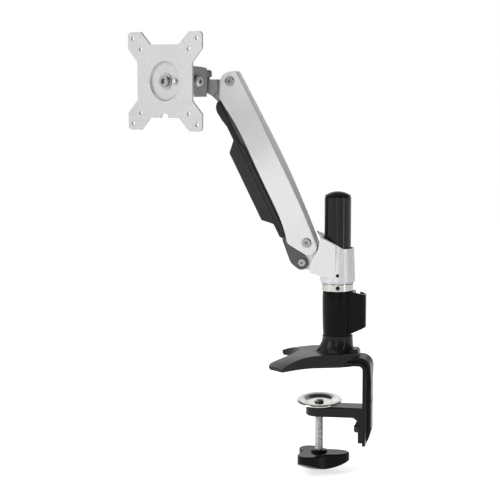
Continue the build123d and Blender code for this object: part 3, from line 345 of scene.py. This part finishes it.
STEEL = plated("turned_steel", (0.62, 0.61, 0.60), rough=(0.22, 0.36), line_mm=0.15, line_strength=0.3)
GUNMETAL = plated("gunmetal_nickel", (0.36, 0.36, 0.36), rough=(0.22, 0.34), line_mm=0.2, line_strength=0.2)
BLACK_OXIDE = plated("black_oxide", (0.045, 0.045, 0.05), rough=(0.25, 0.4), line_mm=0.2, line_strength=0.2)
BRONZE = plated("sintered_bronze", (0.55, 0.38, 0.2), rough=(0.35, 0.5), line_mm=0.3, line_strength=0.3)
RUBBER = rubber("pad_rubber")

# What each finish covers
FINISHES = (
    (SILVER, ("collar", "arm_channel")),
    (PLATE_GREY, ("vesa_plate",)),
    (HEAD_GREY, ("head_link", "tilt_bracket", "tilt_knuckle")),
    (LINK_GREY, ("lower_link",)),
    (BRACKET_BLACK, ("clamp_bracket",)),
    (CAST_BLACK, ("desk_foot", "clamp_jaw")),
    (POLE_BLACK, ("pole", "gas_cylinder")),
    (GLOSS_PLASTIC, ("pole_cap", "pole_sleeve", "cable_clip", "clamp_knob")),
    (MATT_PLASTIC, ("collar_bush", "arm_spacers", "link_cover", "cable_cover", "swivel_bush",
                    "friction_washer")),
    (CHROME, ("height_ring", "slip_washer", "spring_rod")),
    (DISC_CHROME, ("clamp_disc",)),
    (ZINC, ("foot_screws", "pole_bolt", "clamp_screw", "tilt_bolt", "tilt_nut", "tilt_washers",
            "centre_washer", "stop_screw")),
    (STEEL, ("pole_plug", "spring_pin", "cylinder_pin", "spring_end", "link_pin_upper", "swivel_pin",
             "swivel_washer")),
    (GUNMETAL, ("arm_pivot_bolts", "arm_pivot_nuts", "link_bolt_lower", "link_nut_lower", "centre_bolt")),
    (BLACK_OXIDE, ("jaw_screws", "ring_screw", "collar_screw", "cover_screws")),
    (BRONZE, ("tongue_bushes", "head_bushes", "tilt_bush")),
    (RUBBER, ("desk_pad",)),
)


def dress(piece, material):
    """Give every face of a piece this material."""
    piece.data.materials.clear()
    piece.data.materials.append(material)
    for face in piece.data.polygons:
        face.material_index = 0


def dress_nodes():
    for material, names in FINISHES:
        for name in names:
            dress(NODES[name], material)


# ---------------------------------------------------------------- threaded clamp screw
def node_box(name):
    """Low and high corners of a CAD node."""
    corners = [NODES[name].matrix_world @ Vector(corner) for corner in NODES[name].bound_box]
    low = Vector([min(corner[axis] for corner in corners) for axis in range(3)])
    high = Vector([max(corner[axis] for corner in corners) for axis in range(3)])
    return low, high


def thread_rings(bottom, turns):
    """Rings of (radius, angle, height) up a rolled thread that runs out at both ends."""
    rows = turns * RINGS_PER_TURN
    for row in range(rows + 1):
        for step in range(POINTS_ROUND):
            phase = (row / RINGS_PER_TURN - step / POINTS_ROUND) % 1.0
            ridge = max(0.0, 1.0 - abs(phase - 0.5) * FLANK_SLOPE)
            fade = min(1.0, row / RINGS_PER_TURN, (rows - row) / RINGS_PER_TURN)
            radius = THREAD_ROOT + (THREAD_CREST - THREAD_ROOT) * min(1.0, ridge * CREST_CUT) * fade
            yield radius, 2 * pi * step / POINTS_ROUND, bottom + row * THREAD_PITCH / RINGS_PER_TURN


def thread_faces(turns):
    """Four-sided faces between the rings, and one that closes the bottom."""
    faces = []
    for row in range(turns * RINGS_PER_TURN):
        for step in range(POINTS_ROUND):
            corner = row * POINTS_ROUND + step
            beside = row * POINTS_ROUND + (step + 1) % POINTS_ROUND
            faces.append((corner, beside, beside + POINTS_ROUND, corner + POINTS_ROUND))
    faces.append(tuple(reversed(range(POINTS_ROUND))))
    return faces


def threaded_screw():
    """The clamp screw with its rolled thread, under the neck and head of the CAD model.

    The thread has whole turns only, so it ends short of the neck, inside the jaw while the screw is at rest.
    """
    cad = NODES["clamp_screw"]
    low, high = node_box("clamp_screw")
    axis_x, axis_y = (low.x + high.x) / 2, (low.y + high.y) / 2
    shoulder = node_box("clamp_jaw")[1].z - THREAD_STOP
    turns = int((shoulder - low.z) / THREAD_PITCH)
    points = []
    for radius, angle, height in thread_rings(low.z, turns):
        points.append((axis_x + radius * cos(angle), axis_y + radius * sin(angle), height))
    faces = thread_faces(turns)
    round_faces = len(faces) - 1
    for polygon in cad.data.polygons:
        corners = [cad.matrix_world @ cad.data.vertices[vertex].co for vertex in polygon.vertices]
        if min(corner.z for corner in corners) > shoulder:
            faces.append(tuple(range(len(points), len(points) + len(corners))))
            points += [tuple(corner) for corner in corners]
    mesh = bpy.data.meshes.new("threaded_screw")
    mesh.from_pydata(points, [], faces)
    for face in mesh.polygons:
        face.use_smooth = face.index < round_faces
    made = bpy.data.objects.new("threaded_screw", mesh)
    bpy.context.scene.collection.objects.link(made)
    dress(made, SCREW_ZINC)
    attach(made, "spindle")
    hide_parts("clamp_screw")


# ---------------------------------------------------------------- camera, light and floor
def camera():
    forward = Vector((-sin(CAMERA_AZIMUTH) * cos(CAMERA_PITCH), cos(CAMERA_AZIMUTH) * cos(CAMERA_PITCH),
                      -sin(CAMERA_PITCH)))
    data = bpy.data.cameras.new("camera")
    data.sensor_width = SENSOR_mm
    data.lens = LENS_mm
    data.clip_end = CLIP_END
    made = bpy.data.objects.new("camera", data)
    made.location = CAMERA_PLACE
    made.rotation_euler = forward.to_track_quat("-Z", "Y").to_euler()
    bpy.context.scene.collection.objects.link(made)
    bpy.context.scene.camera = made


def softbox(name, place, size, power):
    data = bpy.data.lights.new(name, "AREA")
    data.shape = "RECTANGLE"
    data.size, data.size_y = size
    data.energy = power
    made = bpy.data.objects.new(name, data)
    made.location = place
    made.rotation_euler = (Vector(AIM) - Vector(place)).to_track_quat("-Z", "Y").to_euler()
    bpy.context.scene.collection.objects.link(made)


def surround():
    """A world that the camera sees as plain white, and that lights the object unevenly."""
    world = bpy.data.worlds.new("surround")
    world.use_nodes = True
    sky = Nodes(world.node_tree)
    parts = sky.node("ShaderNodeSeparateXYZ")
    sky.link(sky.node("ShaderNodeTexCoord").outputs["Generated"], parts.inputs[0])
    lighting = sky.node("ShaderNodeBackground")
    across = sky.spread(parts.outputs["Y"], 1.0, 0.0, *RIGHT_FADE)
    sky.link(sky.ramp(across, [(0.0, SURROUND_DARK), (1.0, 1.0)]), lighting.inputs["Color"])
    ahead = sky.spread(parts.outputs["X"], 1.0, AHEAD_DIM, *AHEAD_FADE)
    sky.link(sky.times(ahead, SURROUND_LIGHT), lighting.inputs["Strength"])
    seen = sky.node("ShaderNodeBackground")
    seen.inputs["Color"].default_value = (1.0, 1.0, 1.0, 1)
    choice = sky.node("ShaderNodeMixShader")
    sky.link(sky.node("ShaderNodeLightPath").outputs["Is Camera Ray"], choice.inputs["Fac"])
    sky.link(lighting.outputs[0], choice.inputs[1])
    sky.link(seen.outputs[0], choice.inputs[2])
    sky.link(choice.outputs[0], sky.node("ShaderNodeOutputWorld").inputs["Surface"])
    bpy.context.scene.world = world


def floor():
    """Plain pale floor just under the object."""
    level = CAD_BOX[0][2] - FLOOR_GAP
    corners = [(x * FLOOR_REACH, y * FLOOR_REACH, level) for x, y in ((-1, -1), (1, -1), (1, 1), (-1, 1))]
    mesh = bpy.data.meshes.new("floor")
    mesh.from_pydata(corners, [], [(0, 1, 2, 3)])
    made = bpy.data.objects.new("floor", mesh)
    bpy.context.scene.collection.objects.link(made)
    paper = Shader("floor_paper", Roughness=0.9, Specular_IOR_Level=0.1, Emission_Strength=FLOOR_GLOW)
    paper.bsdf.inputs["Emission Color"].default_value = (1.0, 1.0, 1.0, 1)
    dress(made, paper.done(paper.ramp(paper.noise(FLOOR_CLOUD_mm), [(0.3, 0.90), (0.7, 0.92)])))


dress_nodes()
threaded_screw()
camera()
for box in SOFTBOXES:
    softbox(*box)
surround()
floor()
bpy.context.scene.view_settings.view_transform = "Standard"
